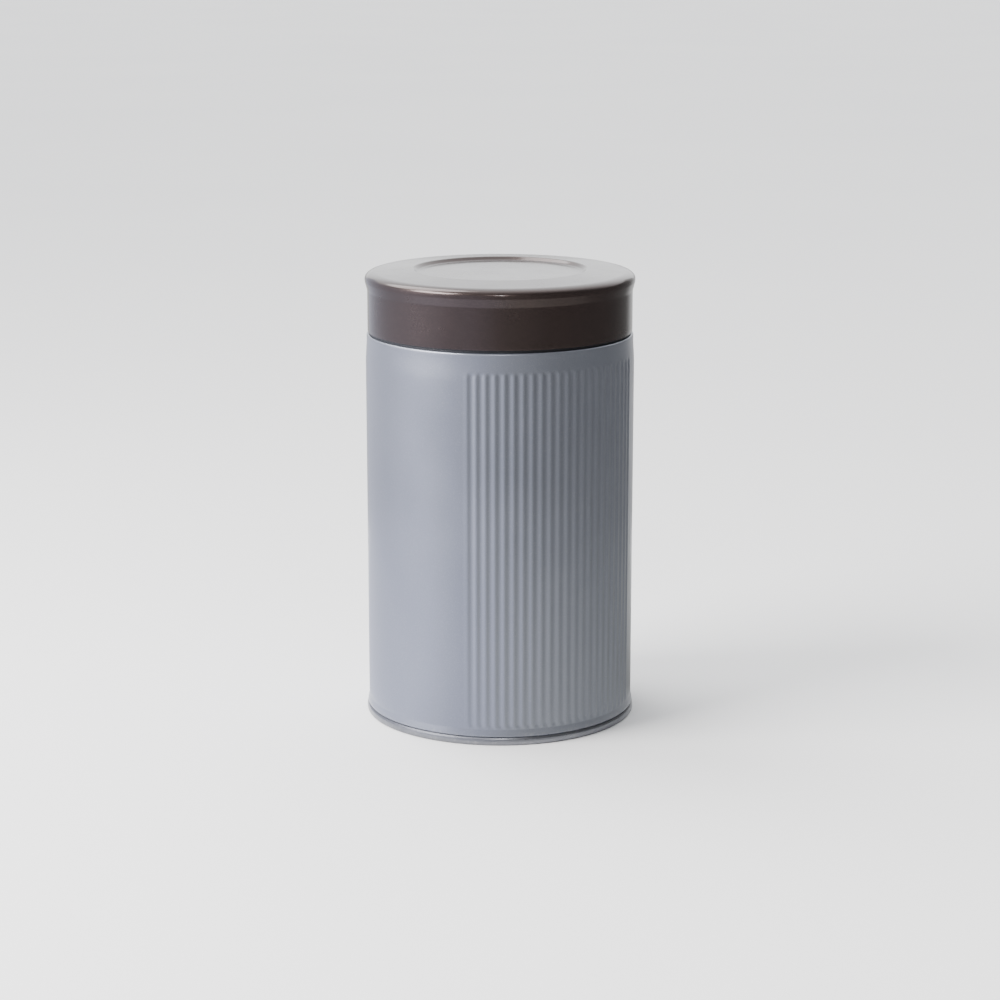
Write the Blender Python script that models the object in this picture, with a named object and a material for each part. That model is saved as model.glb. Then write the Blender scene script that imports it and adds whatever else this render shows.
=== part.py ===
"""Round tinplate coffee tin with a reeded body, a double-seamed bottom, a plug lid and a slip lid.

Metres, +Z up. The origin is the centre of the base, and -Y is the front of the tin.
Each stamped piece is drawn as the path of its outer skin, thickened into sheet and spun about Z.
"""

import math

import bmesh
import bpy
from mathutils import Vector

MM = 0.001
SHEET = 0.25 * MM
GAP = 0.3 * MM

# Body: a rolled cylinder with a slimmer band, a shoulder and a neck at the top
BODY_RADIUS = 42.5 * MM
BAND_RADIUS = 42.15 * MM
NECK_RADIUS = 41.0 * MM
BODY_FOOT = 1.5 * MM
FLARE = 0.42 * MM
FLARE_HEIGHT = 2.95 * MM
WALL_START = 4.9 * MM
BAND_START = 117.8 * MM
SHOULDER_HEIGHT = 123.2 * MM
SHOULDER_RADIUS = 1.0 * MM
MOUTH_HEIGHT = 140.0 * MM
CURL_RADIUS = 0.9 * MM

# Reeding: two panels of upright ribs, a quarter turn each, opposite one another
RIBS = 23
RIB_CREST = 0.08 * MM
RIB_VALLEY = 0.22 * MM
RIB_FADE = 1.8 * MM
REEDED_TURN = math.radians(90.0)
REEDING_START = math.radians(-105.8)
LAP_WIDTH = 0.8 * MM
LAP_STEP = 0.1 * MM
PLAIN_STEPS = 10

# Bottom end: a stamped disc whose rim wraps the foot of the body
SEAM_RADIUS = 43.2 * MM
SEAM_HEIGHT = 2.4 * MM
SEAM_SHEET = 0.3 * MM
CHUCK_RADIUS = 41.65 * MM
PANEL_HEIGHT = 3.6 * MM
PANEL_STEP_RADIUS = 32.0 * MM
PANEL_STEP = 0.6 * MM

# Slip lid
LID_RADIUS = 41.85 * MM
LID_EDGE = 124.05 * MM
HEM_HEIGHT = 1.3 * MM
HEM_THICKNESS = 0.55 * MM
BULGE_RADIUS = 42.62 * MM
BULGE_HEIGHT = 140.1 * MM
BULGE_START = 136.9 * MM
RIM_RADIUS = 40.0 * MM
RIM_HEIGHT = 142.35 * MM
RIDGE_RADIUS = 27.4 * MM
RIDGE_HEIGHT = 143.45 * MM
DISC_RADIUS = 25.9 * MM
DISC_HEIGHT = 141.95 * MM

# Plug lid
PLUG_WALL = 0.8 * MM
PLUG_RADIUS = 38.85 * MM
PLUG_FLOOR = 132.9 * MM
FLANGE_RADIUS = 40.9 * MM
FLANGE_THICKNESS = 0.7 * MM
GRIP_LENGTH = 32.0 * MM
GRIP_WEB = 2.0 * MM
GRIP_HEAD = 6.0 * MM
GRIP_HEAD_THICKNESS = 1.4 * MM
GRIP_TOP = 140.5 * MM

ROUND_STEPS = 60
SHARP_ANGLE = math.radians(35.0)


def clear_scene():
    for old in list(bpy.data.objects):
        bpy.data.objects.remove(old, do_unlink=True)


def material(name, colour, roughness, metallic):
    made = bpy.data.materials.new(name)
    made.use_nodes = True
    shader = made.node_tree.nodes["Principled BSDF"]
    shader.inputs["Base Color"].default_value = (*colour, 1.0)
    shader.inputs["Roughness"].default_value = roughness
    shader.inputs["Metallic"].default_value = metallic
    made.diffuse_color = (*colour, 1.0)
    return made


def empty(name, height, parent=None):
    """An axis marker on Z at a height above the base."""
    marker = bpy.data.objects.new(name, None)
    marker.empty_display_size = 20 * MM
    bpy.context.collection.objects.link(marker)
    marker.parent = parent
    above_parent = parent["height"] if parent else 0.0
    marker.location.z = height - above_parent
    marker["height"] = height
    return marker


def arc(centre, radius, start, end, steps):
    """Points (r, z) on a circular arc, with its angles in degrees from +r towards +z."""
    points = []
    for step in range(steps + 1):
        angle = math.radians(start + (end - start) * step / steps)
        r = centre[0] + radius * math.cos(angle)
        z = centre[1] + radius * math.sin(angle)
        points.append((r, z))
    return points


def smooth(share):
    """A share from 0 to 1, eased at both ends."""
    share = min(max(share, 0.0), 1.0)
    return share * share * (3.0 - 2.0 * share)


def sheet(path, thickness):
    """Closed outline of a sheet whose outer skin follows path, with the metal on the path's left."""
    points = [Vector(point) for point in path]
    inner = []
    for index, point in enumerate(points):
        before = (point - points[index - 1]).normalized() if index else None
        after = (points[index + 1] - point).normalized() if index + 1 < len(points) else None
        before = before or after
        after = after or before
        left = Vector((-before.y - after.y, before.x + after.x)).normalized()
        mitre = left.dot(Vector((-before.y, before.x)))
        inner.append(point + left * thickness / mitre)
    for end in (0, -1):
        if points[end].x < thickness:
            inner[end].x = 0.0
    return [tuple(point) for point in points + inner[::-1]]


def spin(bm, outline, sections, start_angle):
    """Turn a closed outline about Z through sections of (angle, steps)."""
    verts = []
    for r, z in outline:
        verts.append(bm.verts.new((r * math.cos(start_angle), r * math.sin(start_angle), z)))
    profile = list(verts)
    for index, vert in enumerate(verts):
        profile.append(bm.edges.new((vert, verts[(index + 1) % len(verts)])))
    for angle, steps in sections:
        turned = bmesh.ops.spin(
            bm, geom=profile, cent=(0, 0, 0), axis=(0, 0, 1), angle=angle, steps=steps
        )
        profile = turned["geom_last"]
    bmesh.ops.remove_doubles(bm, verts=bm.verts[:], dist=0.001 * MM)
    bmesh.ops.recalc_face_normals(bm, faces=bm.faces[:])


def piece(name, outline, parent, finish, sections=None, start_angle=0.0, emboss=None):
    """A turned piece, with its origin at its parent marker. emboss moves its finished points."""
    bm = bmesh.new()
    spin(bm, outline, sections or [(2 * math.pi, ROUND_STEPS)], start_angle)
    if emboss:
        for vert in bm.verts:
            emboss(vert)
    bmesh.ops.translate(bm, verts=bm.verts[:], vec=(0, 0, -parent["height"]))
    mesh = bpy.data.meshes.new(name)
    bm.to_mesh(mesh)
    bm.free()
    made = bpy.data.objects.new(name, mesh)
    bpy.context.collection.objects.link(made)
    made.parent = parent
    made.data.materials.append(finish)
    mesh.shade_smooth()
    mesh.set_sharp_from_angle(angle=SHARP_ANGLE)
    return made


def body_outline():
    """Body sheet, from its foot up the outside to the inward curl of the mouth."""
    shoulder_centre = (BAND_RADIUS - SHOULDER_RADIUS, SHOULDER_HEIGHT - SHOULDER_RADIUS)
    curl_centre = (NECK_RADIUS - CURL_RADIUS, MOUTH_HEIGHT - CURL_RADIUS)
    path = [
        (BODY_RADIUS, BODY_FOOT),
        (BODY_RADIUS, SEAM_HEIGHT),
        (BODY_RADIUS + FLARE, FLARE_HEIGHT),
        (BODY_RADIUS + 0.35 * FLARE, (FLARE_HEIGHT + WALL_START) / 2),
        (BODY_RADIUS, WALL_START),
        (BODY_RADIUS, WALL_START + RIB_FADE),
        (BODY_RADIUS, BAND_START - RIB_FADE),
        (BAND_RADIUS, BAND_START),
    ]
    path += arc(shoulder_centre, SHOULDER_RADIUS, 0, 76, 2)
    path.append((NECK_RADIUS, SHOULDER_HEIGHT + GAP))
    path += arc(curl_centre, CURL_RADIUS, 0, 270, 5)
    return sheet(path, SHEET)


def body_sections():
    """Quarter turns round the body: reeded front right, plain with the side weld, reeded, plain."""
    lap_turn = LAP_WIDTH / BODY_RADIUS
    plain_turn = math.pi - REEDED_TURN
    beside_lap = ((plain_turn - lap_turn) / 2, PLAIN_STEPS // 2)
    reeded = (REEDED_TURN, 2 * RIBS)
    return [reeded, beside_lap, (lap_turn, 1), beside_lap, reeded, (plain_turn, PLAIN_STEPS)]


def rib_relief(turn):
    """Radial height of the reeding at an angle past the start of a panel, which it leaves level."""
    if not 0.0 < turn < REEDED_TURN:
        return 0.0
    pitch = REEDED_TURN / RIBS
    crest_share = 0.5 - 0.5 * math.cos(2 * math.pi * turn / pitch)
    inside = pitch / 2 <= turn <= REEDED_TURN - pitch / 2
    valley = RIB_VALLEY if inside else 0.0
    return RIB_CREST * crest_share - valley * (1.0 - crest_share)


def emboss_body(vert):
    """Press the reeding and the welded side lap into the wall, easing out at top and bottom."""
    rise = smooth((vert.co.z - WALL_START) / RIB_FADE)
    fall = smooth((BAND_START - vert.co.z) / RIB_FADE)
    radius = math.hypot(vert.co.x, vert.co.y)
    turn = (math.atan2(vert.co.y, vert.co.x) - REEDING_START) % math.pi
    whole_turn = (math.atan2(vert.co.y, vert.co.x) - REEDING_START) % (2 * math.pi)
    from_lap = abs(whole_turn - (REEDED_TURN + math.pi) / 2) * BODY_RADIUS
    shift = LAP_STEP if from_lap < LAP_WIDTH else rib_relief(turn)
    scale = 1.0 + shift * rise * fall / radius
    vert.co.x *= scale
    vert.co.y *= scale


def bottom_outline():
    """Bottom end, its underside drawn from the centre out to the foot ring and up the seam."""
    path = [
        (0.0, PANEL_HEIGHT + PANEL_STEP),
        (PANEL_STEP_RADIUS, PANEL_HEIGHT + PANEL_STEP),
        (PANEL_STEP_RADIUS + 1.0 * MM, PANEL_HEIGHT),
        (CHUCK_RADIUS - 0.4 * MM, PANEL_HEIGHT),
        (CHUCK_RADIUS, PANEL_HEIGHT - 0.4 * MM),
        (CHUCK_RADIUS, 0.3 * MM),
        (CHUCK_RADIUS + 0.3 * MM, 0.0),
        (SEAM_RADIUS - 0.2 * MM, 0.0),
        (SEAM_RADIUS, 0.4 * MM),
        (SEAM_RADIUS, SEAM_HEIGHT - 0.5 * MM),
        (SEAM_RADIUS - 0.1 * MM, SEAM_HEIGHT),
    ]
    return sheet(path, SEAM_SHEET)


def compound_outline():
    """Sealing compound inside the seam, clear of the rim, the chuck wall and the body's foot."""
    inner = CHUCK_RADIUS + SEAM_SHEET + GAP
    outer = SEAM_RADIUS - SEAM_SHEET - GAP
    low = SEAM_SHEET + GAP
    high = BODY_FOOT - GAP
    return [(inner, low), (outer, low), (outer, high), (inner, high)]


def lid_path():
    """Outer skin of the slip lid above its hem, up the skirt and the bulge to the centre."""
    flare_end = (BULGE_RADIUS - 0.1 * MM, BULGE_HEIGHT - 0.6 * MM)
    path = [(LID_RADIUS, BULGE_START), flare_end]
    run = BULGE_RADIUS - RIM_RADIUS
    drop = RIM_HEIGHT - BULGE_HEIGHT
    for degrees in (0, 28, 56, 84):
        angle = math.radians(degrees)
        path.append((RIM_RADIUS + run * math.cos(angle), BULGE_HEIGHT + drop * math.sin(angle)))
    path += [
        (RIDGE_RADIUS + 0.8 * MM, RIDGE_HEIGHT - 0.05 * MM),
        (RIDGE_RADIUS, RIDGE_HEIGHT),
        (RIDGE_RADIUS - 0.5 * MM, RIDGE_HEIGHT - 0.3 * MM),
        (DISC_RADIUS + 0.5 * MM, DISC_HEIGHT + 0.3 * MM),
        (DISC_RADIUS, DISC_HEIGHT),
        (0.0, DISC_HEIGHT),
    ]
    return path


def lid_outline():
    """Slip lid as sheet, its lower edge doubled by a closed hem."""
    skin = sheet(lid_path(), SHEET)
    hem = [
        (LID_RADIUS - HEM_THICKNESS, LID_EDGE + HEM_HEIGHT),
        (LID_RADIUS - HEM_THICKNESS, LID_EDGE + 0.15 * MM),
        (LID_RADIUS - HEM_THICKNESS + 0.15 * MM, LID_EDGE),
        (LID_RADIUS - 0.15 * MM, LID_EDGE),
        (LID_RADIUS, LID_EDGE + 0.2 * MM),
    ]
    hem_top = (LID_RADIUS - SHEET, LID_EDGE + HEM_HEIGHT)
    return [*skin, hem_top, *hem]


def plug_outline():
    """Moulded plug lid: a flange over the mouth curl, and a cup with an upright wall below it."""
    inside = PLUG_RADIUS - PLUG_WALL
    flange_foot = MOUTH_HEIGHT + GAP
    flange_top = flange_foot + FLANGE_THICKNESS
    floor_top = PLUG_FLOOR + PLUG_WALL
    soft = 0.35 * MM
    return [
        (0.0, PLUG_FLOOR),
        (PLUG_RADIUS - soft, PLUG_FLOOR),
        (PLUG_RADIUS, PLUG_FLOOR + soft),
        (PLUG_RADIUS, flange_foot),
        (FLANGE_RADIUS - soft, flange_foot),
        (FLANGE_RADIUS, flange_foot + FLANGE_THICKNESS / 2),
        (FLANGE_RADIUS - soft, flange_top),
        (inside + soft, flange_top),
        (inside, flange_top - soft),
        (inside, floor_top + soft),
        (inside - soft, floor_top),
        (0.0, floor_top),
    ]


def grip_block(name, size, centre, parent):
    """A bevelled block of the plug lid's grip, joined to it by a union."""
    bm = bmesh.new()
    bmesh.ops.create_cube(bm, size=1.0)
    bmesh.ops.scale(bm, verts=bm.verts[:], vec=size)
    upright = [edge for edge in bm.edges if abs(edge.verts[0].co.z - edge.verts[1].co.z) > MM / 2]
    bmesh.ops.bevel(
        bm, geom=upright, offset=0.45 * min(size[0], size[1]), segments=2, affect="EDGES", profile=0.5
    )
    mesh = bpy.data.meshes.new(name)
    bm.to_mesh(mesh)
    bm.free()
    block = bpy.data.objects.new(name, mesh)
    bpy.context.collection.objects.link(block)
    block.parent = parent
    block.location = (centre[0], centre[1], centre[2] - parent["height"])
    block.hide_render = True
    block.display_type = "WIRE"
    return block


def add_grip(plug, parent):
    """A T-shaped bar across the middle of the plug lid, to pull it out by."""
    web_foot = PLUG_FLOOR + PLUG_WALL / 2
    head_foot = GRIP_TOP - GRIP_HEAD_THICKNESS
    web_top = head_foot + GRIP_HEAD_THICKNESS / 2
    web = grip_block(
        "grip_web",
        (GRIP_LENGTH - 2 * MM, GRIP_WEB, web_top - web_foot),
        (0, 0, (web_top + web_foot) / 2),
        parent,
    )
    head = grip_block(
        "grip_head",
        (GRIP_LENGTH, GRIP_HEAD, GRIP_HEAD_THICKNESS),
        (0, 0, GRIP_TOP - GRIP_HEAD_THICKNESS / 2),
        parent,
    )
    for block in (web, head):
        union = plug.modifiers.new(block.name, "BOOLEAN")
        union.operation = "UNION"
        union.solver = "EXACT"
        union.object = block


def build_tin():
    clear_scene()
    silver = material("silver_lacquer", (0.48, 0.50, 0.55), 0.36, 0.9)
    bronze = material("bronze_lacquer", (0.13, 0.105, 0.095), 0.2, 0.7)
    tinplate = material("tinplate", (0.60, 0.61, 0.62), 0.3, 1.0)
    compound = material("sealing_compound", (0.30, 0.31, 0.28), 0.8, 0.0)
    polythene = material("polythene", (0.82, 0.83, 0.80), 0.42, 0.0)

    tin_axis = empty("tin_axis", 0.0)
    plug_slide = empty("plug_slide", MOUTH_HEIGHT, tin_axis)
    lid_slide = empty("lid_slide", LID_EDGE, plug_slide)

    piece(
        "body_shell",
        body_outline(),
        tin_axis,
        silver,
        sections=body_sections(),
        start_angle=REEDING_START,
        emboss=emboss_body,
    )
    piece("bottom_end", bottom_outline(), tin_axis, tinplate)
    piece("seam_compound", compound_outline(), tin_axis, compound)
    plug = piece("plug_lid", plug_outline(), plug_slide, polythene)
    add_grip(plug, plug_slide)
    piece("slip_lid", lid_outline(), lid_slide, bronze)


build_tin()
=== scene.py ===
"""Looks of the round coffee tin: fine sheet metal, lacquers and studio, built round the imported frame."""

import math

import bmesh
import bpy
import numpy as np
from mathutils import Matrix, Vector


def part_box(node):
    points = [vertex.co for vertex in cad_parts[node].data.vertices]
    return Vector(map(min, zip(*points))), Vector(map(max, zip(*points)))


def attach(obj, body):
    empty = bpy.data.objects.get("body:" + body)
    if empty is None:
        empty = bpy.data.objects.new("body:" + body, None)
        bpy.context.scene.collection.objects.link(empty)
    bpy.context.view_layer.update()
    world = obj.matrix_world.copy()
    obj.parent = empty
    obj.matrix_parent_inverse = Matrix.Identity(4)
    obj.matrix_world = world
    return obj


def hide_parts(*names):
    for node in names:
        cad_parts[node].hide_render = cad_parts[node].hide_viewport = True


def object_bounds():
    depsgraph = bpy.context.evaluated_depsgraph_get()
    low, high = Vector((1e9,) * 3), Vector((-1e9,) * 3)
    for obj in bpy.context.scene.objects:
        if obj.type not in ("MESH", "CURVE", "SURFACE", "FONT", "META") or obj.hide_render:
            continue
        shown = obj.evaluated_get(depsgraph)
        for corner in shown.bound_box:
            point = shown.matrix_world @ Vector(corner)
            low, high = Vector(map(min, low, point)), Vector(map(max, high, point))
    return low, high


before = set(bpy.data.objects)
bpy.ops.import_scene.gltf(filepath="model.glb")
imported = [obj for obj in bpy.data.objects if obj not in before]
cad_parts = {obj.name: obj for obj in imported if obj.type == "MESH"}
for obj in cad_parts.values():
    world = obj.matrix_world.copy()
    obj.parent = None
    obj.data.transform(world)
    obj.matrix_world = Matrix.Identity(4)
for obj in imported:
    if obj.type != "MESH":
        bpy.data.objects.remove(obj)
CAD_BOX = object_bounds()

MM = 0.001
ON_AXIS = MM / 100

# The frame's own places, in metres
FOOT_RADIUS = CAD_BOX[1].x
LID_TOP = CAD_BOX[1].z
LID_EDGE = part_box("slip_lid")[0].z
BULGE_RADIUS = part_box("slip_lid")[1].x
BODY_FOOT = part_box("body_shell")[0].z
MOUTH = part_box("body_shell")[1].z
PANEL_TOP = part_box("bottom_end")[1].z
PLUG_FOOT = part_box("plug_lid")[0].z
PLUG_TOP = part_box("plug_lid")[1].z
FLANGE_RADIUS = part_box("plug_lid")[1].x

# Body
SHEET = 0.25 * MM
BODY_RADIUS = FOOT_RADIUS - 0.7 * MM
BAND_RADIUS = BODY_RADIUS - 0.35 * MM
NECK_RADIUS = BODY_RADIUS - 1.5 * MM
FLARE = 0.42 * MM
FLARE_HEIGHT = 2.95 * MM
WALL_START = 4.9 * MM
RIB_FADE = 1.8 * MM
BAND_START = MOUTH - 22.2 * MM
BAND_EASE = 8.0 * MM
SHOULDER_HEIGHT = LID_EDGE - 0.85 * MM
CURL_RADIUS = 0.9 * MM
RIBS = 23
RIB_CREST = 0.08 * MM
RIB_VALLEY = 0.22 * MM
RIB_SHARPNESS = 1.15
REEDED_TURN = math.radians(90.0)
REEDING_START = math.radians(-105.8)
LAP_MIDDLE = REEDING_START + (REEDED_TURN + math.pi) / 2
LAP_WIDTH = 0.8 * MM
LAP_STEP = 0.08 * MM
STRIPE_WIDTH = 7.0 * MM

# Bottom end
SEAM_HEIGHT = 2.4 * MM
SEAM_SHEET = 0.3 * MM
CHUCK_RADIUS = FOOT_RADIUS - 1.55 * MM
PANEL_HEIGHT = PANEL_TOP - 0.9 * MM
PANEL_STEP_RADIUS = 32.0 * MM

# Slip lid
LID_RADIUS = BODY_RADIUS - 0.65 * MM
HEM_THICKNESS = 0.55 * MM
HEM_HEIGHT = 1.3 * MM
FLARE_START = LID_TOP - 6.55 * MM
BULGE_HEIGHT = LID_TOP - 3.15 * MM
RIM_RADIUS = 38.0 * MM
RIM_HEIGHT = LID_TOP - 0.75 * MM
RIDGE_RADIUS = 27.4 * MM
DISC_RADIUS = 25.6 * MM
DISC_HEIGHT = LID_TOP - 1.1 * MM

# Plug lid
PLUG_WALL = 0.8 * MM
PLUG_RADIUS = FLANGE_RADIUS - 2.05 * MM
FLANGE_THICKNESS = 0.7 * MM
GRIP_LENGTH = 32.0 * MM
GRIP_WEB = 2.0 * MM
GRIP_HEAD = 6.0 * MM
GRIP_HEAD_THICKNESS = 1.4 * MM
GRIP_TOP = PLUG_TOP - 0.5 * MM
RING_RADII = (21.5 * MM, 31.5 * MM)
RING_RISE = 0.35 * MM

# Columns of faces, and the angle from which an edge stays sharp
ROUND_COLUMNS = 192
COLUMNS_PER_RIB = 14
LAP_COLUMNS = 24
PLAIN_COLUMNS = 64
SHARP_ANGLE = math.radians(38.0)


# ---------------------------------------------------------------- outlines

def smooth(share):
    """A share clipped to 0..1 and eased at both ends."""
    share = np.clip(share, 0.0, 1.0)
    return share * share * (3.0 - 2.0 * share)


def arc(centre, radius, start, end, steps):
    """Points (r, z) along an arc, with its angles in degrees from +r towards +z."""
    angles = np.radians(np.linspace(start, end, steps + 1))
    return [(centre[0] + radius * math.cos(a), centre[1] + radius * math.sin(a)) for a in angles]


def soften(corners, steps=6):
    """A path through corners (r, z, fillet radius), each corner rounded by its fillet."""
    path = [corners[0][:2]]
    for before, corner, after in zip(corners, corners[1:], corners[2:]):
        point = Vector(corner[:2])
        back = Vector(before[:2]) - point
        ahead = Vector(after[:2]) - point
        half_angle = back.angle(ahead) / 2
        reach = corner[2] / math.tan(half_angle)
        reach = min(reach, 0.48 * back.length, 0.48 * ahead.length)
        radius = reach * math.tan(half_angle)
        start = point + back.normalized() * reach
        end = point + ahead.normalized() * reach
        middle = (back.normalized() + ahead.normalized()).normalized()
        centre = point + middle * (radius / math.sin(half_angle))
        for step in range(steps + 1):
            across = start.lerp(end, step / steps) - centre
            path.append(tuple(centre + across.normalized() * radius))
    path.append(corners[-1][:2])
    return path


def sheet(path, thickness):
    """Closed outline of a sheet whose outer skin follows path, with the metal on its left."""
    points = np.array(path, float)
    along = np.diff(points, axis=0)
    along /= np.linalg.norm(along, axis=1)[:, None]
    before = np.vstack([along[:1], along])
    after = np.vstack([along, along[-1:]])
    left = np.stack([-(before + after)[:, 1], (before + after)[:, 0]], 1)
    left /= np.linalg.norm(left, axis=1)[:, None]
    mitre = left[:, 0] * -before[:, 1] + left[:, 1] * before[:, 0]
    inner = points + left * (thickness / mitre)[:, None]
    for end in (0, -1):
        if points[end][0] < ON_AXIS:
            inner[end][0] = 0.0
    return np.vstack([points, inner[::-1]]), len(points)


# ---------------------------------------------------------------- turned pieces

def lathe(name, outline, outer_count, angles, finishes, relief=None):
    """A closed piece turned about Z. The first outer_count points are its outer skin, finish 0."""
    r = outline[:, 0]
    z = outline[:, 1]
    angles = np.array(angles)
    radius = np.repeat(r[None, :], len(angles), 0)
    if relief is not None:
        radius = radius + relief(angles[:, None], z[None, :])
    places = np.stack(
        [
            radius * np.cos(angles)[:, None],
            radius * np.sin(angles)[:, None],
            np.repeat(z[None, :], len(angles), 0),
        ],
        2,
    )
    rows = len(r)
    column = np.arange(len(angles))[:, None] * rows
    beside = np.roll(column, -1, 0)
    row = np.arange(rows)[None, :]
    above = np.roll(row, -1, 1)
    faces = np.stack([column + row, beside + row, beside + above, column + above], 2)
    on_axis = (r < ON_AXIS) & (np.roll(r, -1) < ON_AXIS)
    faces = faces[:, ~on_axis]
    outer = np.repeat((np.arange(rows) < outer_count - 1)[None, ~on_axis], len(angles), 0)
    mesh = bpy.data.meshes.new(name)
    mesh.from_pydata(places.reshape(-1, 3).tolist(), [], faces.reshape(-1, 4).tolist())
    mesh.polygons.foreach_set("material_index", np.where(outer, 0, 1).ravel().astype(np.int32))
    bm = bmesh.new()
    bm.from_mesh(mesh)
    bmesh.ops.remove_doubles(bm, verts=bm.verts[:], dist=MM / 1000)
    bmesh.ops.recalc_face_normals(bm, faces=bm.faces[:])
    bm.to_mesh(mesh)
    bm.free()
    mesh.shade_smooth()
    mesh.set_sharp_from_angle(angle=SHARP_ANGLE)
    for finish in finishes:
        mesh.materials.append(finish)
    made = bpy.data.objects.new(name, mesh)
    bpy.context.scene.collection.objects.link(made)
    return made


def round_turns():
    return [2 * math.pi * column / ROUND_COLUMNS for column in range(ROUND_COLUMNS)]


def wall_turns():
    """Column angles round the body: fine across the ribs and the side weld, plain elsewhere."""
    reeded = RIBS * COLUMNS_PER_RIB
    lap_turn = 4 * LAP_WIDTH / BODY_RADIUS
    beside_lap = (REEDED_TURN - lap_turn) / 2
    stretches = [
        (REEDED_TURN, reeded),
        (beside_lap, PLAIN_COLUMNS // 2),
        (lap_turn, LAP_COLUMNS),
        (beside_lap, PLAIN_COLUMNS // 2),
        (REEDED_TURN, reeded),
        (REEDED_TURN, PLAIN_COLUMNS),
    ]
    angles = []
    start = REEDING_START
    for turn, columns in stretches:
        angles += [start + turn * column / columns for column in range(columns)]
        start += turn
    return angles


def wall_relief(angle, z):
    """Height of the reeding and of the welded side lap, at any angle and height of the body."""
    turn = (angle - REEDING_START) % math.pi
    pitch = REEDED_TURN / RIBS
    crest = (0.5 - 0.5 * np.cos(2 * math.pi * turn / pitch)) ** RIB_SHARPNESS
    inside = (turn > pitch / 2) & (turn < REEDED_TURN - pitch / 2)
    reeding = RIB_CREST * crest - np.where(inside, RIB_VALLEY, 0.0) * (1.0 - crest)
    reeding = np.where(turn < REEDED_TURN, reeding, 0.0)
    from_lap = np.abs((angle - LAP_MIDDLE + math.pi) % (2 * math.pi) - math.pi) * BODY_RADIUS
    lap = LAP_STEP * smooth((LAP_WIDTH * 0.8 - from_lap) / (LAP_WIDTH * 0.5))
    rise = smooth((z - WALL_START) / RIB_FADE)
    fall = smooth((BAND_START - z) / RIB_FADE)
    return (reeding + lap) * rise * fall


def body_path():
    """Outer skin of the body, from its foot up to the curl of the mouth."""
    neck_foot = SHOULDER_HEIGHT + 0.05 * MM
    curl_centre = (NECK_RADIUS - CURL_RADIUS, MOUTH - CURL_RADIUS)
    foot = soften(
        [
            (BODY_RADIUS, BODY_FOOT, 0),
            (BODY_RADIUS, SEAM_HEIGHT, 0.15 * MM),
            (BODY_RADIUS + FLARE, FLARE_HEIGHT, 0.14 * MM),
            (BODY_RADIUS, WALL_START + 0.1 * MM, 4.0 * MM),
            (BODY_RADIUS, WALL_START + 0.6 * MM, 0),
        ]
    )
    band_top = SHOULDER_HEIGHT - 1.2 * MM
    # Rows stand close together where the ribs fade and the wall eases into the band
    heights = np.concatenate(
        [
            np.linspace(WALL_START + 0.7 * MM, WALL_START + RIB_FADE, 7),
            np.linspace(WALL_START + 8.0 * MM, BAND_START - 6.0 * MM, 13),
            np.linspace(BAND_START - 3.2 * MM, band_top, 32),
        ]
    )
    ease = smooth((heights - BAND_START + BAND_EASE / 2) / BAND_EASE)
    wall = [(BODY_RADIUS + (BAND_RADIUS - BODY_RADIUS) * e, z) for e, z in zip(ease, heights)]
    neck = soften(
        [
            wall[-1] + (0,),
            (BAND_RADIUS, SHOULDER_HEIGHT, 1.0 * MM),
            (NECK_RADIUS, neck_foot, 0.35 * MM),
            (NECK_RADIUS, curl_centre[1], 0),
        ]
    )
    return foot + wall + neck[1:] + arc(curl_centre, CURL_RADIUS, 0, 285, 22)[1:]


def bottom_path():
    """Underside of the bottom end, from its centre out to the foot ring and up the seam."""
    bead_middle = 1.0 * MM
    raised = PANEL_HEIGHT + 0.6 * MM
    corners = [
        (0.0, raised, 0),
        (PANEL_STEP_RADIUS, raised, 0.8 * MM),
        (PANEL_STEP_RADIUS + 1.0 * MM, PANEL_HEIGHT, 0.8 * MM),
        (CHUCK_RADIUS - 0.2 * MM, PANEL_HEIGHT, 0.45 * MM),
        (CHUCK_RADIUS, 0.0, 0.35 * MM),
        (FOOT_RADIUS - 0.1 * MM, 0.0, 0.55 * MM),
        (FOOT_RADIUS, bead_middle, 1.6 * MM),
        (FOOT_RADIUS - 0.12 * MM, SEAM_HEIGHT - 0.5 * MM, 0.8 * MM),
        (FOOT_RADIUS - 0.42 * MM, SEAM_HEIGHT, 0),
    ]
    return soften(corners, 8)


def lid_path():
    """Outer skin of the slip lid, from above its hem up the skirt and over to the centre."""
    run = BULGE_RADIUS - RIM_RADIUS
    rise = RIM_HEIGHT - BULGE_HEIGHT
    fullness = 0.85
    rim = [
        (RIM_RADIUS + run * math.cos(a) ** fullness, BULGE_HEIGHT + rise * math.sin(a) ** fullness)
        for a in np.radians(np.linspace(0, 86, 24))
    ]
    skirt = soften(
        [
            (LID_RADIUS, LID_EDGE + HEM_HEIGHT + 0.3 * MM, 0),
            (LID_RADIUS, FLARE_START, 3.0 * MM),
            (BULGE_RADIUS, BULGE_HEIGHT - 0.5 * MM, 2.5 * MM),
            (BULGE_RADIUS, BULGE_HEIGHT, 0),
        ],
        10,
    )
    top = soften(
        [
            rim[-1],
            (RIDGE_RADIUS, LID_TOP + 0.02 * MM, 1.2 * MM),
            (DISC_RADIUS + 0.3 * MM, DISC_HEIGHT, 1.9 * MM),
            (0.0, DISC_HEIGHT, 0),
        ],
        10,
    )
    return skirt + rim[1:] + top[1:]


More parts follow.
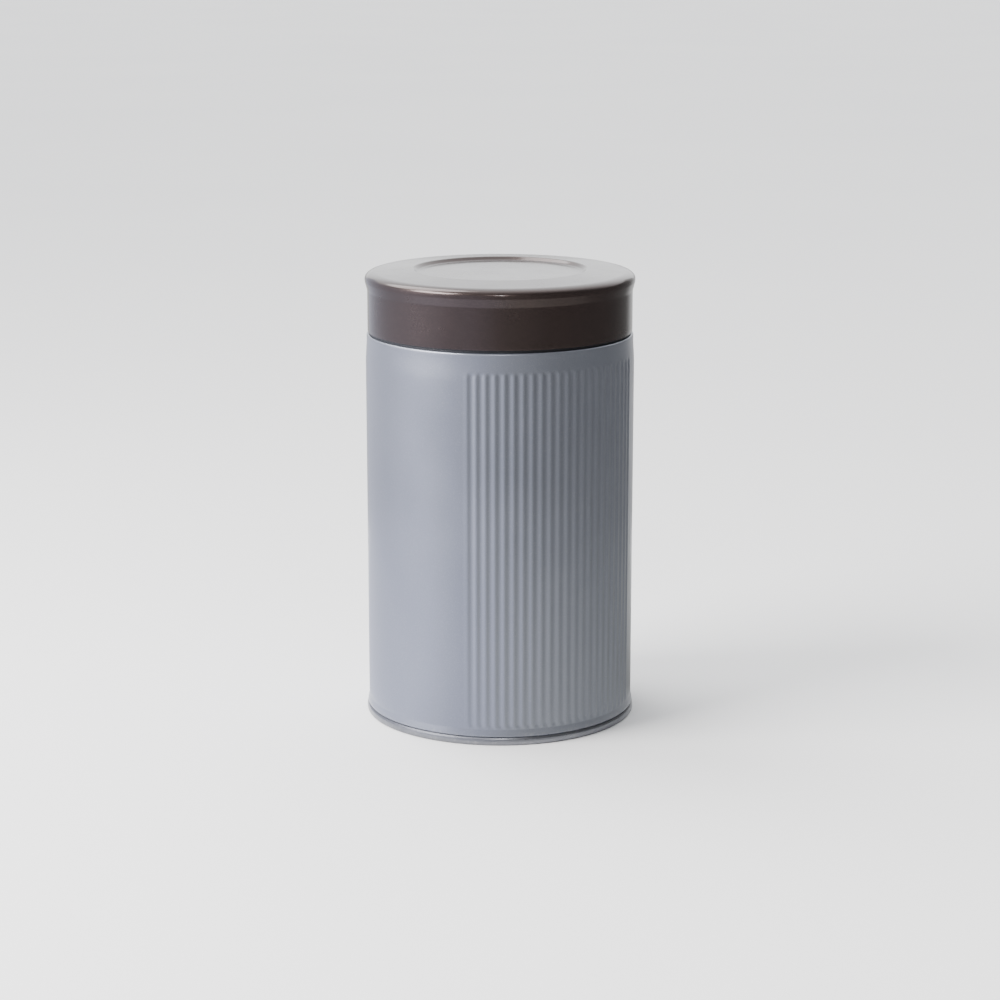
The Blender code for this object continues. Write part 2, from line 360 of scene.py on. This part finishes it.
def lid_outline():
    """Slip lid as sheet, with its lower edge folded inward into a closed hem."""
    skin, outer_count = sheet(lid_path(), SHEET)
    half = HEM_THICKNESS / 2
    fold_centre = (LID_RADIUS - half, LID_EDGE + half)
    raw_edge = 0.12 * MM
    raw_edge_centre = (LID_RADIUS - HEM_THICKNESS + raw_edge, LID_EDGE + HEM_HEIGHT - 0.1 * MM)
    *turned_in, fold_start = arc(raw_edge_centre, raw_edge, 90, 180, 3)
    folded_end = [(LID_RADIUS - SHEET, LID_EDGE + HEM_HEIGHT + 0.1 * MM), *turned_in]
    fold = [fold_start, *arc(fold_centre, half, 180, 270, 6)]
    # The outer half of the fold is pressed flatter than round
    hem_curve = 0.4
    for degrees in range(285, 361, 15):
        angle = math.radians(degrees)
        rise = LID_EDGE + half * hem_curve * (1 + math.sin(angle))
        fold.append((fold_centre[0] + half * math.cos(angle), rise))
    return np.vstack([fold, skin, folded_end]), outer_count + len(fold)


def plug_outline():
    """Moulded plug lid: flange, cup wall, and a floor with two raised rings."""
    inside = PLUG_RADIUS - PLUG_WALL
    flange_foot = PLUG_TOP - FLANGE_THICKNESS
    floor_top = PLUG_FOOT + PLUG_WALL
    ring_top = floor_top + RING_RISE
    corners = [(0.0, floor_top, 0)]
    for ring_radius in RING_RADII:
        corners += [
            (ring_radius - 1.5 * MM, floor_top, 0.5 * MM),
            (ring_radius - 0.7 * MM, ring_top, 0.4 * MM),
            (ring_radius + 0.7 * MM, ring_top, 0.4 * MM),
            (ring_radius + 1.5 * MM, floor_top, 0.5 * MM),
        ]
    corners += [
        (inside, floor_top, 0.8 * MM),
        (inside, PLUG_TOP, 0.4 * MM),
        (FLANGE_RADIUS - 0.5 * MM, PLUG_TOP, 0.3 * MM),
        (FLANGE_RADIUS, flange_foot + FLANGE_THICKNESS * 0.6, 0.3 * MM),
        (FLANGE_RADIUS - 0.3 * MM, flange_foot, 0.15 * MM),
        (PLUG_RADIUS, flange_foot, 0.25 * MM),
        (PLUG_RADIUS, PLUG_FOOT + 3.2 * MM, 0.3 * MM),
        (PLUG_RADIUS - 0.25 * MM, PLUG_FOOT + 2.6 * MM, 0.3 * MM),
        (PLUG_RADIUS - 0.25 * MM, PLUG_FOOT, 0.7 * MM),
        (0.0, PLUG_FOOT, 0),
    ]
    return np.array(soften(corners, 4))


def bar(name, size, middle, bevel):
    """A closed bar with every edge rounded."""
    bm = bmesh.new()
    bmesh.ops.create_cube(bm, size=1.0)
    bmesh.ops.scale(bm, verts=bm.verts[:], vec=size)
    ends = [edge for edge in bm.edges if abs(edge.verts[0].co.z - edge.verts[1].co.z) > MM / 2]
    bmesh.ops.bevel(bm, geom=ends, offset=0.49 * size[1], segments=8, affect="EDGES", profile=0.5)
    level = [edge for edge in bm.edges if abs(edge.verts[0].co.z - edge.verts[1].co.z) < MM / 100]
    rims = [edge for edge in level if edge.calc_face_angle(0.0) > math.radians(60)]
    bmesh.ops.bevel(bm, geom=rims, offset=bevel, segments=3, affect="EDGES", profile=0.5)
    bmesh.ops.translate(bm, verts=bm.verts[:], vec=middle)
    mesh = bpy.data.meshes.new(name)
    bm.to_mesh(mesh)
    bm.free()
    made = bpy.data.objects.new(name, mesh)
    bpy.context.scene.collection.objects.link(made)
    return made


def add_grip(plug):
    """Unites the T-shaped grip bar with the plug lid's floor."""
    web_foot = PLUG_FOOT + PLUG_WALL / 2
    web_top = GRIP_TOP - GRIP_HEAD_THICKNESS / 2
    web_size = (GRIP_LENGTH - 2 * MM, GRIP_WEB, web_top - web_foot)
    head_size = (GRIP_LENGTH, GRIP_HEAD, GRIP_HEAD_THICKNESS)
    head_middle = (0, 0, GRIP_TOP - GRIP_HEAD_THICKNESS / 2)
    bars = [
        bar("grip_web", web_size, (0, 0, (web_top + web_foot) / 2), 0.1 * MM),
        bar("grip_head", head_size, head_middle, 0.35 * MM),
    ]
    for made in bars:
        union = plug.modifiers.new(made.name, "BOOLEAN")
        union.operation = "UNION"
        union.solver = "EXACT"
        union.object = made
    evaluated = plug.evaluated_get(bpy.context.evaluated_depsgraph_get())
    united = bpy.data.meshes.new_from_object(evaluated)
    plug.modifiers.clear()
    plug.data = united
    united.shade_smooth()
    united.set_sharp_from_angle(angle=SHARP_ANGLE)
    for made in bars:
        bpy.data.objects.remove(made)


# ---------------------------------------------------------------- materials

def node(tree, kind, inputs=None, **settings):
    """A new node, its settings set and its inputs given values or linked to sockets."""
    made = tree.nodes.new(kind)
    for key, value in settings.items():
        setattr(made, key, value)
    for key, value in (inputs or {}).items():
        if isinstance(value, bpy.types.NodeSocket):
            tree.links.new(value, made.inputs[key])
        else:
            made.inputs[key].default_value = value
    return made


def noise(tree, place, scale, detail=2.0, roughness=0.5):
    inputs = {"Vector": place, "Scale": scale, "Detail": detail, "Roughness": roughness}
    return node(tree, "ShaderNodeTexNoise", inputs).outputs["Fac"]


def remap(tree, value, low, high, new_low, new_high):
    """value carried from low..high to new_low..new_high, clipped at both ends."""
    inputs = {
        "Value": value,
        "From Min": low,
        "From Max": high,
        "To Min": new_low,
        "To Max": new_high,
    }
    return node(tree, "ShaderNodeMapRange", inputs).outputs["Result"]


def spread(tree, pattern, low, high):
    """Noise, which keeps mostly to 0.3..0.7, carried to low..high."""
    return remap(tree, pattern, 0.3, 0.7, low, high)


def maths(tree, operation, *values):
    return node(tree, "ShaderNodeMath", dict(enumerate(values)), operation=operation).outputs[0]


def dot(tree, place, direction):
    """How far a place lies along a direction."""
    inputs = {0: place, 1: direction}
    return node(tree, "ShaderNodeVectorMath", inputs, operation="DOT_PRODUCT").outputs["Value"]


def mixed(tree, share, first, second):
    """Two colours mixed by a share."""
    inputs = {0: share, 6: first, 7: second}
    return node(tree, "ShaderNodeMix", inputs, data_type="RGBA").outputs[2]


def mottled(tree, pattern, first, second):
    """Two colours mixed by noise."""
    return mixed(tree, spread(tree, pattern, 0.0, 1.0), first, second)


class Finish:
    """A material on its way, with the places on the object that its nodes read."""

    def __init__(self, name, **constants):
        self.material = bpy.data.materials.new(name)
        self.material.use_nodes = True
        self.tree = self.material.node_tree
        self.shader = self.tree.nodes["Principled BSDF"]
        for key, value in constants.items():
            self.shader.inputs[key.replace("_", " ")].default_value = value
        self.place = node(self.tree, "ShaderNodeTexCoord").outputs["Object"]
        x, y, self.z = node(self.tree, "ShaderNodeSeparateXYZ", {0: self.place}).outputs
        flat = node(self.tree, "ShaderNodeCombineXYZ", {0: x, 1: y}).outputs[0]
        from_axis = node(self.tree, "ShaderNodeVectorMath", {0: flat}, operation="LENGTH")
        self.radius = from_axis.outputs["Value"]

    def stretched(self, x, y, z):
        """Places scaled along the axes, so that noise on them is drawn out."""
        inputs = {0: self.place, 1: (x, y, z)}
        return node(self.tree, "ShaderNodeVectorMath", inputs, operation="MULTIPLY").outputs[0]

    def near(self, value, middle, width):
        """1 where value is at middle, falling to 0 at width from it."""
        away = maths(self.tree, "ABSOLUTE", maths(self.tree, "SUBTRACT", value, middle))
        return remap(self.tree, away, 0.0, width, 1.0, 0.0)

    def patchy(self, mask, scale, low, high):
        """The mask broken up by noise."""
        spots = remap(self.tree, noise(self.tree, self.place, scale, 5.0, 0.6), low, high, 0.0, 1.0)
        return maths(self.tree, "MULTIPLY", mask, spots)

    def set(self, **sockets):
        for key, socket in sockets.items():
            self.tree.links.new(socket, self.shader.inputs[key.replace("_", " ")])

    def bump(self, height, strength, distance, under=None):
        inputs = {"Strength": strength, "Distance": distance, "Height": height}
        if under is not None:
            inputs["Normal"] = under
        return node(self.tree, "ShaderNodeBump", inputs).outputs["Normal"]


def colour(red, green, blue):
    return (red, green, blue, 1.0)


def weld_stripe(made):
    """Masks of the bare stripe along the side weld, and of the scorch down its middle."""
    tree = made.tree
    lap_x = math.cos(LAP_MIDDLE)
    lap_y = math.sin(LAP_MIDDLE)
    across = dot(tree, made.place, (-lap_y, lap_x, 0))
    facing = dot(tree, made.place, (lap_x, lap_y, 0))
    wander = spread(tree, noise(tree, made.stretched(1, 1, 0.3), 900.0), -1.0, 1.0)
    across = maths(tree, "ADD", across, maths(tree, "MULTIPLY", wander, 0.12 * MM))
    away = maths(tree, "ABSOLUTE", across)
    bare = remap(tree, away, STRIPE_WIDTH / 2, STRIPE_WIDTH / 2 - 0.15 * MM, 0.0, 1.0)
    bare = maths(tree, "MULTIPLY", bare, maths(tree, "GREATER_THAN", facing, 0.0))
    scorch = remap(tree, away, 1.1 * MM, 0.4 * MM, 0.0, 0.45)
    return bare, maths(tree, "MULTIPLY", scorch, bare)


def silver_lacquer():
    """Satin bluish silver lacquer, rubbed at the neck, with painted light over the crevice above the seam
    and painted shade on the neck above the shoulder.
    """
    made = Finish("silver_lacquer", Metallic=0.85, Coat_Weight=0.25, Coat_Roughness=0.22)
    tree = made.tree
    cloud = noise(tree, made.place, 28.0, 3.0)
    base = mottled(tree, cloud, colour(0.236, 0.250, 0.296), colour(0.252, 0.266, 0.312))
    flake = remap(tree, noise(tree, made.place, 5200.0, 1.0), 0.56, 0.75, 0.0, 0.5)
    base = mixed(tree, flake, base, colour(0.38, 0.40, 0.44))
    # Lighter over the flare and the crevice above the seam: painted light that lifts the crevice's shade;
    # lighter at the foot of the neck: rubbed wear
    foot = maths(tree, "MULTIPLY", made.near(made.z, FLARE_HEIGHT, 1.1 * MM), 0.6)
    neck = remap(tree, made.z, SHOULDER_HEIGHT, SHOULDER_HEIGHT + 0.4 * MM, 0.0, 0.55)
    wear_and_painted_light = made.patchy(maths(tree, "MAXIMUM", foot, neck), 900.0, 0.52, 0.66)
    base = mixed(tree, wear_and_painted_light, base, colour(0.40, 0.41, 0.42))
    # Near black on the neck from the shoulder up under the lid's hem: painted shade for the gap under the
    # lid
    corner = remap(tree, made.z, SHOULDER_HEIGHT, SHOULDER_HEIGHT + 0.12 * MM, 0.0, 1.0)
    above = remap(tree, made.z, SHOULDER_HEIGHT + 1.0 * MM, SHOULDER_HEIGHT + 1.6 * MM, 1.0, 0.0)
    neck_painted_shade = maths(tree, "MULTIPLY", corner, above)
    base = mixed(tree, maths(tree, "MULTIPLY", neck_painted_shade, 0.9), base, colour(0.02, 0.02, 0.022))
    bare, scorch = weld_stripe(made)
    base = mixed(tree, bare, base, colour(0.42, 0.42, 0.41))
    base = mixed(tree, scorch, base, colour(0.20, 0.19, 0.19))
    hazy = spread(tree, noise(tree, made.place, 60.0, 4.0), 0.30, 0.37)
    rough = maths(tree, "SUBTRACT", hazy, maths(tree, "MULTIPLY", wear_and_painted_light, 0.08))
    rough = maths(tree, "ADD", rough, maths(tree, "MULTIPLY", neck_painted_shade, 0.3))
    peel = made.bump(noise(tree, made.place, 750.0), 0.05, 0.4 * MM)
    grain = made.bump(noise(tree, made.place, 3800.0, 1.0), 0.05, 0.1 * MM, peel)
    made.set(Base_Color=base, Roughness=rough, Normal=grain)
    return made.material


def bronze_lacquer():
    """Glossy dark bronze lacquer with fine pearl in it, worn along the raised ring and the hem."""
    made = Finish(
        "bronze_lacquer",
        Metallic=0.8,
        Coat_Weight=0.75,
        Coat_Roughness=0.14,
        Specular_Tint=colour(0.45, 0.45, 0.45),
    )
    tree = made.tree
    cloud = noise(tree, made.place, 34.0, 3.0)
    base = mottled(tree, cloud, colour(0.036, 0.023, 0.021), colour(0.045, 0.029, 0.026))
    flake = remap(tree, noise(tree, made.place, 2200.0, 1.0), 0.48, 0.72, 0.0, 0.3)
    base = mixed(tree, flake, base, colour(0.085, 0.062, 0.056))
    hem = maths(tree, "MULTIPLY", made.near(made.z, LID_EDGE, 0.35 * MM), 0.6)
    ridge = maths(tree, "MULTIPLY", made.near(made.radius, RIDGE_RADIUS, 0.9 * MM), 0.5)
    edges = made.patchy(maths(tree, "MAXIMUM", hem, ridge), 1100.0, 0.56, 0.70)
    base = mixed(tree, edges, base, colour(0.15, 0.13, 0.12))
    handled = remap(tree, noise(tree, made.place, 55.0, 4.0, 0.6), 0.35, 0.7, 0.20, 0.30)
    peel = made.bump(noise(tree, made.place, 420.0), 0.04, 0.5 * MM)
    grain = made.bump(noise(tree, made.place, 3000.0, 1.0), 0.03, 0.1 * MM, peel)
    made.set(Base_Color=base, Roughness=handled, Normal=grain)
    return made.material


def bare_tinplate(name, light, dark, sheen):
    """Tinplate under clear lacquer, with the faint grain of the rolling mill along X."""
    made = Finish(name, Metallic=1.0, Coat_Weight=0.3, Coat_Roughness=0.15)
    tree = made.tree
    grain = noise(tree, made.stretched(0.06, 1.0, 1.0), 2400.0, 4.0, 0.6)
    streak = noise(tree, made.stretched(0.05, 1.0, 1.0), 320.0, 3.0)
    base = mottled(tree, streak, dark, light)
    stain = remap(tree, noise(tree, made.place, 95.0, 5.0, 0.65), 0.55, 0.75, 0.0, 0.35)
    base = mixed(tree, stain, base, colour(*[0.72 * part for part in dark[:3]]))
    rough = spread(tree, grain, sheen - 0.05, sheen + 0.09)
    made.set(Base_Color=base, Roughness=rough, Normal=made.bump(grain, 0.06, 0.1 * MM))
    return made.material


def seam_metal():
    """Bottom end: satin tinplate, scuffed where the foot ring and the seam rub on shelves."""
    made = Finish("seam_tinplate", Metallic=0.95, Coat_Weight=0.15, Coat_Roughness=0.2)
    tree = made.tree
    streak = noise(tree, made.stretched(0.05, 1.0, 1.0), 420.0, 3.0)
    base = mottled(tree, streak, colour(0.165, 0.17, 0.19), colour(0.20, 0.205, 0.225))
    ground = remap(tree, made.z, 0.35 * MM, 0.05 * MM, 0.0, 1.0)
    outside = made.near(made.radius, FOOT_RADIUS, 0.12 * MM)
    scuffed = made.patchy(maths(tree, "MAXIMUM", ground, outside), 700.0, 0.54, 0.75)
    base = mixed(tree, scuffed, base, colour(0.29, 0.29, 0.30))
    grain = noise(tree, made.stretched(0.08, 1.0, 1.0), 2600.0, 4.0, 0.6)
    dulled = maths(tree, "MULTIPLY", scuffed, 0.1)
    rough = maths(tree, "ADD", spread(tree, grain, 0.26, 0.36), dulled)
    made.set(Base_Color=base, Roughness=rough, Normal=made.bump(grain, 0.06, 0.1 * MM))
    return made.material


def polythene():
    """Milky natural polythene, satin, with faint flow marks and a little surface scuffing."""
    made = Finish(
        "polythene", Subsurface_Weight=0.25, Subsurface_Scale=2 * MM, Specular_IOR_Level=0.45
    )
    tree = made.tree
    flow = noise(tree, made.stretched(1.0, 0.35, 1.0), 120.0, 4.0, 0.6)
    base = mottled(tree, flow, colour(0.58, 0.59, 0.565), colour(0.66, 0.67, 0.645))
    dust = remap(tree, noise(tree, made.place, 1500.0, 4.0, 0.6), 0.66, 0.78, 0.0, 0.3)
    base = mixed(tree, dust, base, colour(0.42, 0.39, 0.35))
    rough = spread(tree, noise(tree, made.place, 240.0, 4.0), 0.36, 0.50)
    matt = made.bump(noise(tree, made.place, 5200.0), 0.12, 0.08 * MM)
    made.set(Base_Color=base, Roughness=rough, Normal=matt)
    return made.material


def dried_compound():
    """Seaming compound: a dull grey-green rubber with a slightly pitted skin."""
    made = Finish("dried_compound", Specular_IOR_Level=0.3)
    tree = made.tree
    blotch = noise(tree, made.place, 700.0, 4.0, 0.6)
    base = mottled(tree, blotch, colour(0.26, 0.27, 0.24), colour(0.34, 0.35, 0.31))
    rough = spread(tree, blotch, 0.7, 0.9)
    pits = made.bump(noise(tree, made.place, 3500.0, 3.0), 0.3, 0.1 * MM)
    made.set(Base_Color=base, Roughness=rough, Normal=pits)
    return made.material


def paper_floor():
    """Matt white studio paper."""
    made = Finish("studio_paper", Specular_IOR_Level=0.2)
    tree = made.tree
    tone = noise(tree, made.place, 3.0)
    base = mottled(tree, tone, colour(0.88, 0.88, 0.885), colour(0.90, 0.90, 0.90))
    made.set(Base_Color=base, Roughness=spread(tree, noise(tree, made.place, 40.0), 0.85, 0.95))
    return made.material


# ---------------------------------------------------------------- the tin

def build_tin():
    light = colour(0.60, 0.585, 0.55)
    dark = colour(0.50, 0.49, 0.465)
    inside = bare_tinplate("tin_inside", light, dark, 0.28)

    wall, outer_count = sheet(body_path(), SHEET)
    finishes = [silver_lacquer(), inside]
    body = lathe("body_sheet", wall, outer_count, wall_turns(), finishes, wall_relief)
    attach(body, "tin_body")
    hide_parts("body_shell")

    under, outer_count = sheet(bottom_path(), SEAM_SHEET)
    end = lathe("bottom_end_sheet", under, outer_count, round_turns(), [seam_metal(), inside])
    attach(end, "tin_body")
    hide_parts("bottom_end")

    cap, outer_count = lid_outline()
    lid = lathe("slip_lid_sheet", cap, outer_count, round_turns(), [bronze_lacquer(), inside])
    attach(lid, "slip_lid")
    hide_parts("slip_lid")

    moulding = plug_outline()
    all_outer = len(moulding) + 1
    plug = lathe("plug_lid_moulding", moulding, all_outer, round_turns(), [polythene()])
    add_grip(plug)
    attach(plug, "plug_lid")
    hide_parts("plug_lid")

    compound = dried_compound()
    for finish_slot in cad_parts["seam_compound"].material_slots:
        finish_slot.material = compound


# ---------------------------------------------------------------- studio

def aimed(place, target):
    """A matrix at place whose -Z looks at target."""
    place = Vector(place)
    turn = (Vector(target) - place).to_track_quat("-Z", "Y")
    return Matrix.LocRotScale(place, turn, None)


def polar(azimuth, distance, height):
    """A place round the tin: azimuth in degrees from the front, growing to the right."""
    angle = math.radians(azimuth)
    return (distance * math.sin(angle), -distance * math.cos(angle), height)


def softbox(name, place, target, size, power, tint=(1.0, 1.0, 1.0)):
    light = bpy.data.lights.new(name, "AREA")
    light.shape = "RECTANGLE"
    light.size = size[0]
    light.size_y = size[1]
    light.energy = power
    light.color = tint
    made = bpy.data.objects.new(name, light)
    bpy.context.scene.collection.objects.link(made)
    made.matrix_world = aimed(place, target)


def sun(name, azimuth, elevation, strength, spread):
    """A very soft sun, which lights the whole floor evenly."""
    light = bpy.data.lights.new(name, "SUN")
    light.energy = strength
    light.angle = math.radians(spread)
    made = bpy.data.objects.new(name, light)
    bpy.context.scene.collection.objects.link(made)
    rise = math.tan(math.radians(elevation))
    made.matrix_world = aimed(polar(azimuth, 1.0, rise), (0, 0, 0))


def glow_by_azimuth(name, stops):
    """A glowing card that follows stops of (azimuth, brightness, tint)."""
    card = bpy.data.materials.new(name)
    card.use_nodes = True
    tree = card.node_tree
    tree.nodes.clear()
    place = node(tree, "ShaderNodeTexCoord").outputs["Object"]
    x, y, _ = node(tree, "ShaderNodeSeparateXYZ", {0: place}).outputs
    first = stops[0][0]
    last = stops[-1][0]
    azimuth = maths(tree, "ARCTAN2", x, maths(tree, "MULTIPLY", y, -1.0))
    behind = maths(tree, "LESS_THAN", azimuth, math.radians(last - 360.0))
    azimuth = maths(tree, "ADD", azimuth, maths(tree, "MULTIPLY", behind, 2 * math.pi))
    share = remap(tree, azimuth, math.radians(first), math.radians(last), 0.0, 1.0)
    ramp = node(tree, "ShaderNodeValToRGB", {0: share})
    ramp.color_ramp.interpolation = "EASE"
    elements = ramp.color_ramp.elements
    while len(elements) < len(stops):
        elements.new(0.5)
    for element, (angle, _, _) in zip(elements, stops):
        element.position = (angle - first) / (last - first)
    for element, (_, brightness, tint) in zip(elements, stops):
        element.color = colour(*[brightness * part for part in tint])
    glow = node(tree, "ShaderNodeEmission", {"Color": ramp.outputs["Color"], "Strength": 1.0})
    out = node(tree, "ShaderNodeOutputMaterial")
    tree.links.new(glow.outputs[0], out.inputs["Surface"])
    return card


def flag(name, near, far, stops):
    """A card turned round the tin from near to far (distance, height); only reflections see it."""
    steps = 60
    start = stops[0][0]
    end = stops[-1][0]
    verts = []
    faces = []
    for step in range(steps + 1):
        azimuth = start + (end - start) * step / steps
        verts += [polar(azimuth, *near), polar(azimuth, *far)]
        if step:
            corner = 2 * step
            faces.append((corner - 2, corner, corner + 1, corner - 1))
    mesh = bpy.data.meshes.new(name)
    mesh.from_pydata(verts, [], faces)
    made = bpy.data.objects.new(name, mesh)
    bpy.context.scene.collection.objects.link(made)
    made.visible_camera = False
    made.visible_diffuse = False
    made.visible_shadow = False
    made.visible_transmission = False
    mesh.materials.append(glow_by_azimuth(name, stops))


def build_world():
    """A pale room, brightest behind the tin and dim to its front right."""
    world = bpy.data.worlds.new("studio")
    bpy.context.scene.world = world
    world.use_nodes = True
    tree = world.node_tree
    direction = node(tree, "ShaderNodeTexCoord").outputs["Generated"]
    dim_side = polar(45, 1.0, 0.0)
    backlight_rise = math.radians(40)
    backlight = (0.0, math.cos(backlight_rise), math.sin(backlight_rise))
    walls = remap(tree, dot(tree, direction, dim_side), -0.35, 0.75, 1.3, 0.2)
    glow = remap(tree, dot(tree, direction, backlight), 0.5, 0.95, 0.0, 1.35)
    room = tree.nodes["Background"]
    room.inputs["Color"].default_value = colour(0.97, 0.98, 1.0)
    tree.links.new(maths(tree, "ADD", walls, glow), room.inputs["Strength"])


def build_studio():
    bpy.ops.mesh.primitive_plane_add(size=60.0, location=(0, 0, 0))
    floor = bpy.context.object
    floor.name = "floor"
    floor.data.materials.append(paper_floor())

    softbox(
        "key_left",
        place=polar(-66, 0.75, 0.53),
        target=(0, 0, 0.08),
        size=(0.5, 0.7),
        power=20.5,
        tint=(1.0, 0.98, 0.965),
    )
    softbox(
        "front_kicker", place=(0, -1.0, 0.72), target=(0, 0, 0.14), size=(0.09, 0.06), power=1.9
    )
    sun("fill_sun", azimuth=-130, elevation=52, strength=2.4, spread=40)

    # Each tone is an azimuth, a brightness and a tint
    cool = (0.95, 0.975, 1.14)
    plain = (1.0, 1.0, 1.0)
    warm = (1.0, 1.01, 0.97)
    wall_tones = [
        (-150, 1.2, cool),
        (-110, 1.2, cool),
        (-70, 1.5, cool),
        (-30, 0.95, cool),
        (10, 0.42, plain),
        (45, 0.27, plain),
        (100, 0.24, plain),
        (130, 0.35, plain),
        (150, 1.0, plain),
    ]
    floor_tones = [
        (-150, 1.7, cool),
        (-60, 2.1, cool),
        (-20, 1.4, cool),
        (20, 0.95, warm),
        (60, 0.66, warm),
        (110, 0.45, warm),
        (150, 0.9, warm),
    ]
    back_tones = [
        (150, 1.0, plain),
        (180, 0.8, plain),
        (210, 1.0, plain),
    ]
    reach = 0.27
    wall_height = 0.25
    back_height = 0.155
    apron_start = 0.048
    apron_height = 1 * MM
    flag("flag_wall", (reach, 0.0), (reach, wall_height), wall_tones)
    flag("flag_back", (reach, 0.0), (reach, back_height), back_tones)
    flag("flag_apron", (apron_start, apron_height), (reach, apron_height), floor_tones)
    build_world()


def build_camera():
    """A camera with a long lens, square to the front of the tin and looking a little down."""
    distance = 19.12 * BODY_RADIUS
    height = 6.026 * BODY_RADIUS
    tilt = 13.0
    data = bpy.data.cameras.new("camera")
    data.lens = 93.5
    data.sensor_width = 36.0
    camera = bpy.data.objects.new("camera", data)
    bpy.context.scene.collection.objects.link(camera)
    camera.location = (0, -distance, height)
    camera.rotation_euler = (math.radians(90.0 - tilt), 0, 0)
    bpy.context.scene.camera = camera


build_camera()
build_tin()
build_studio()
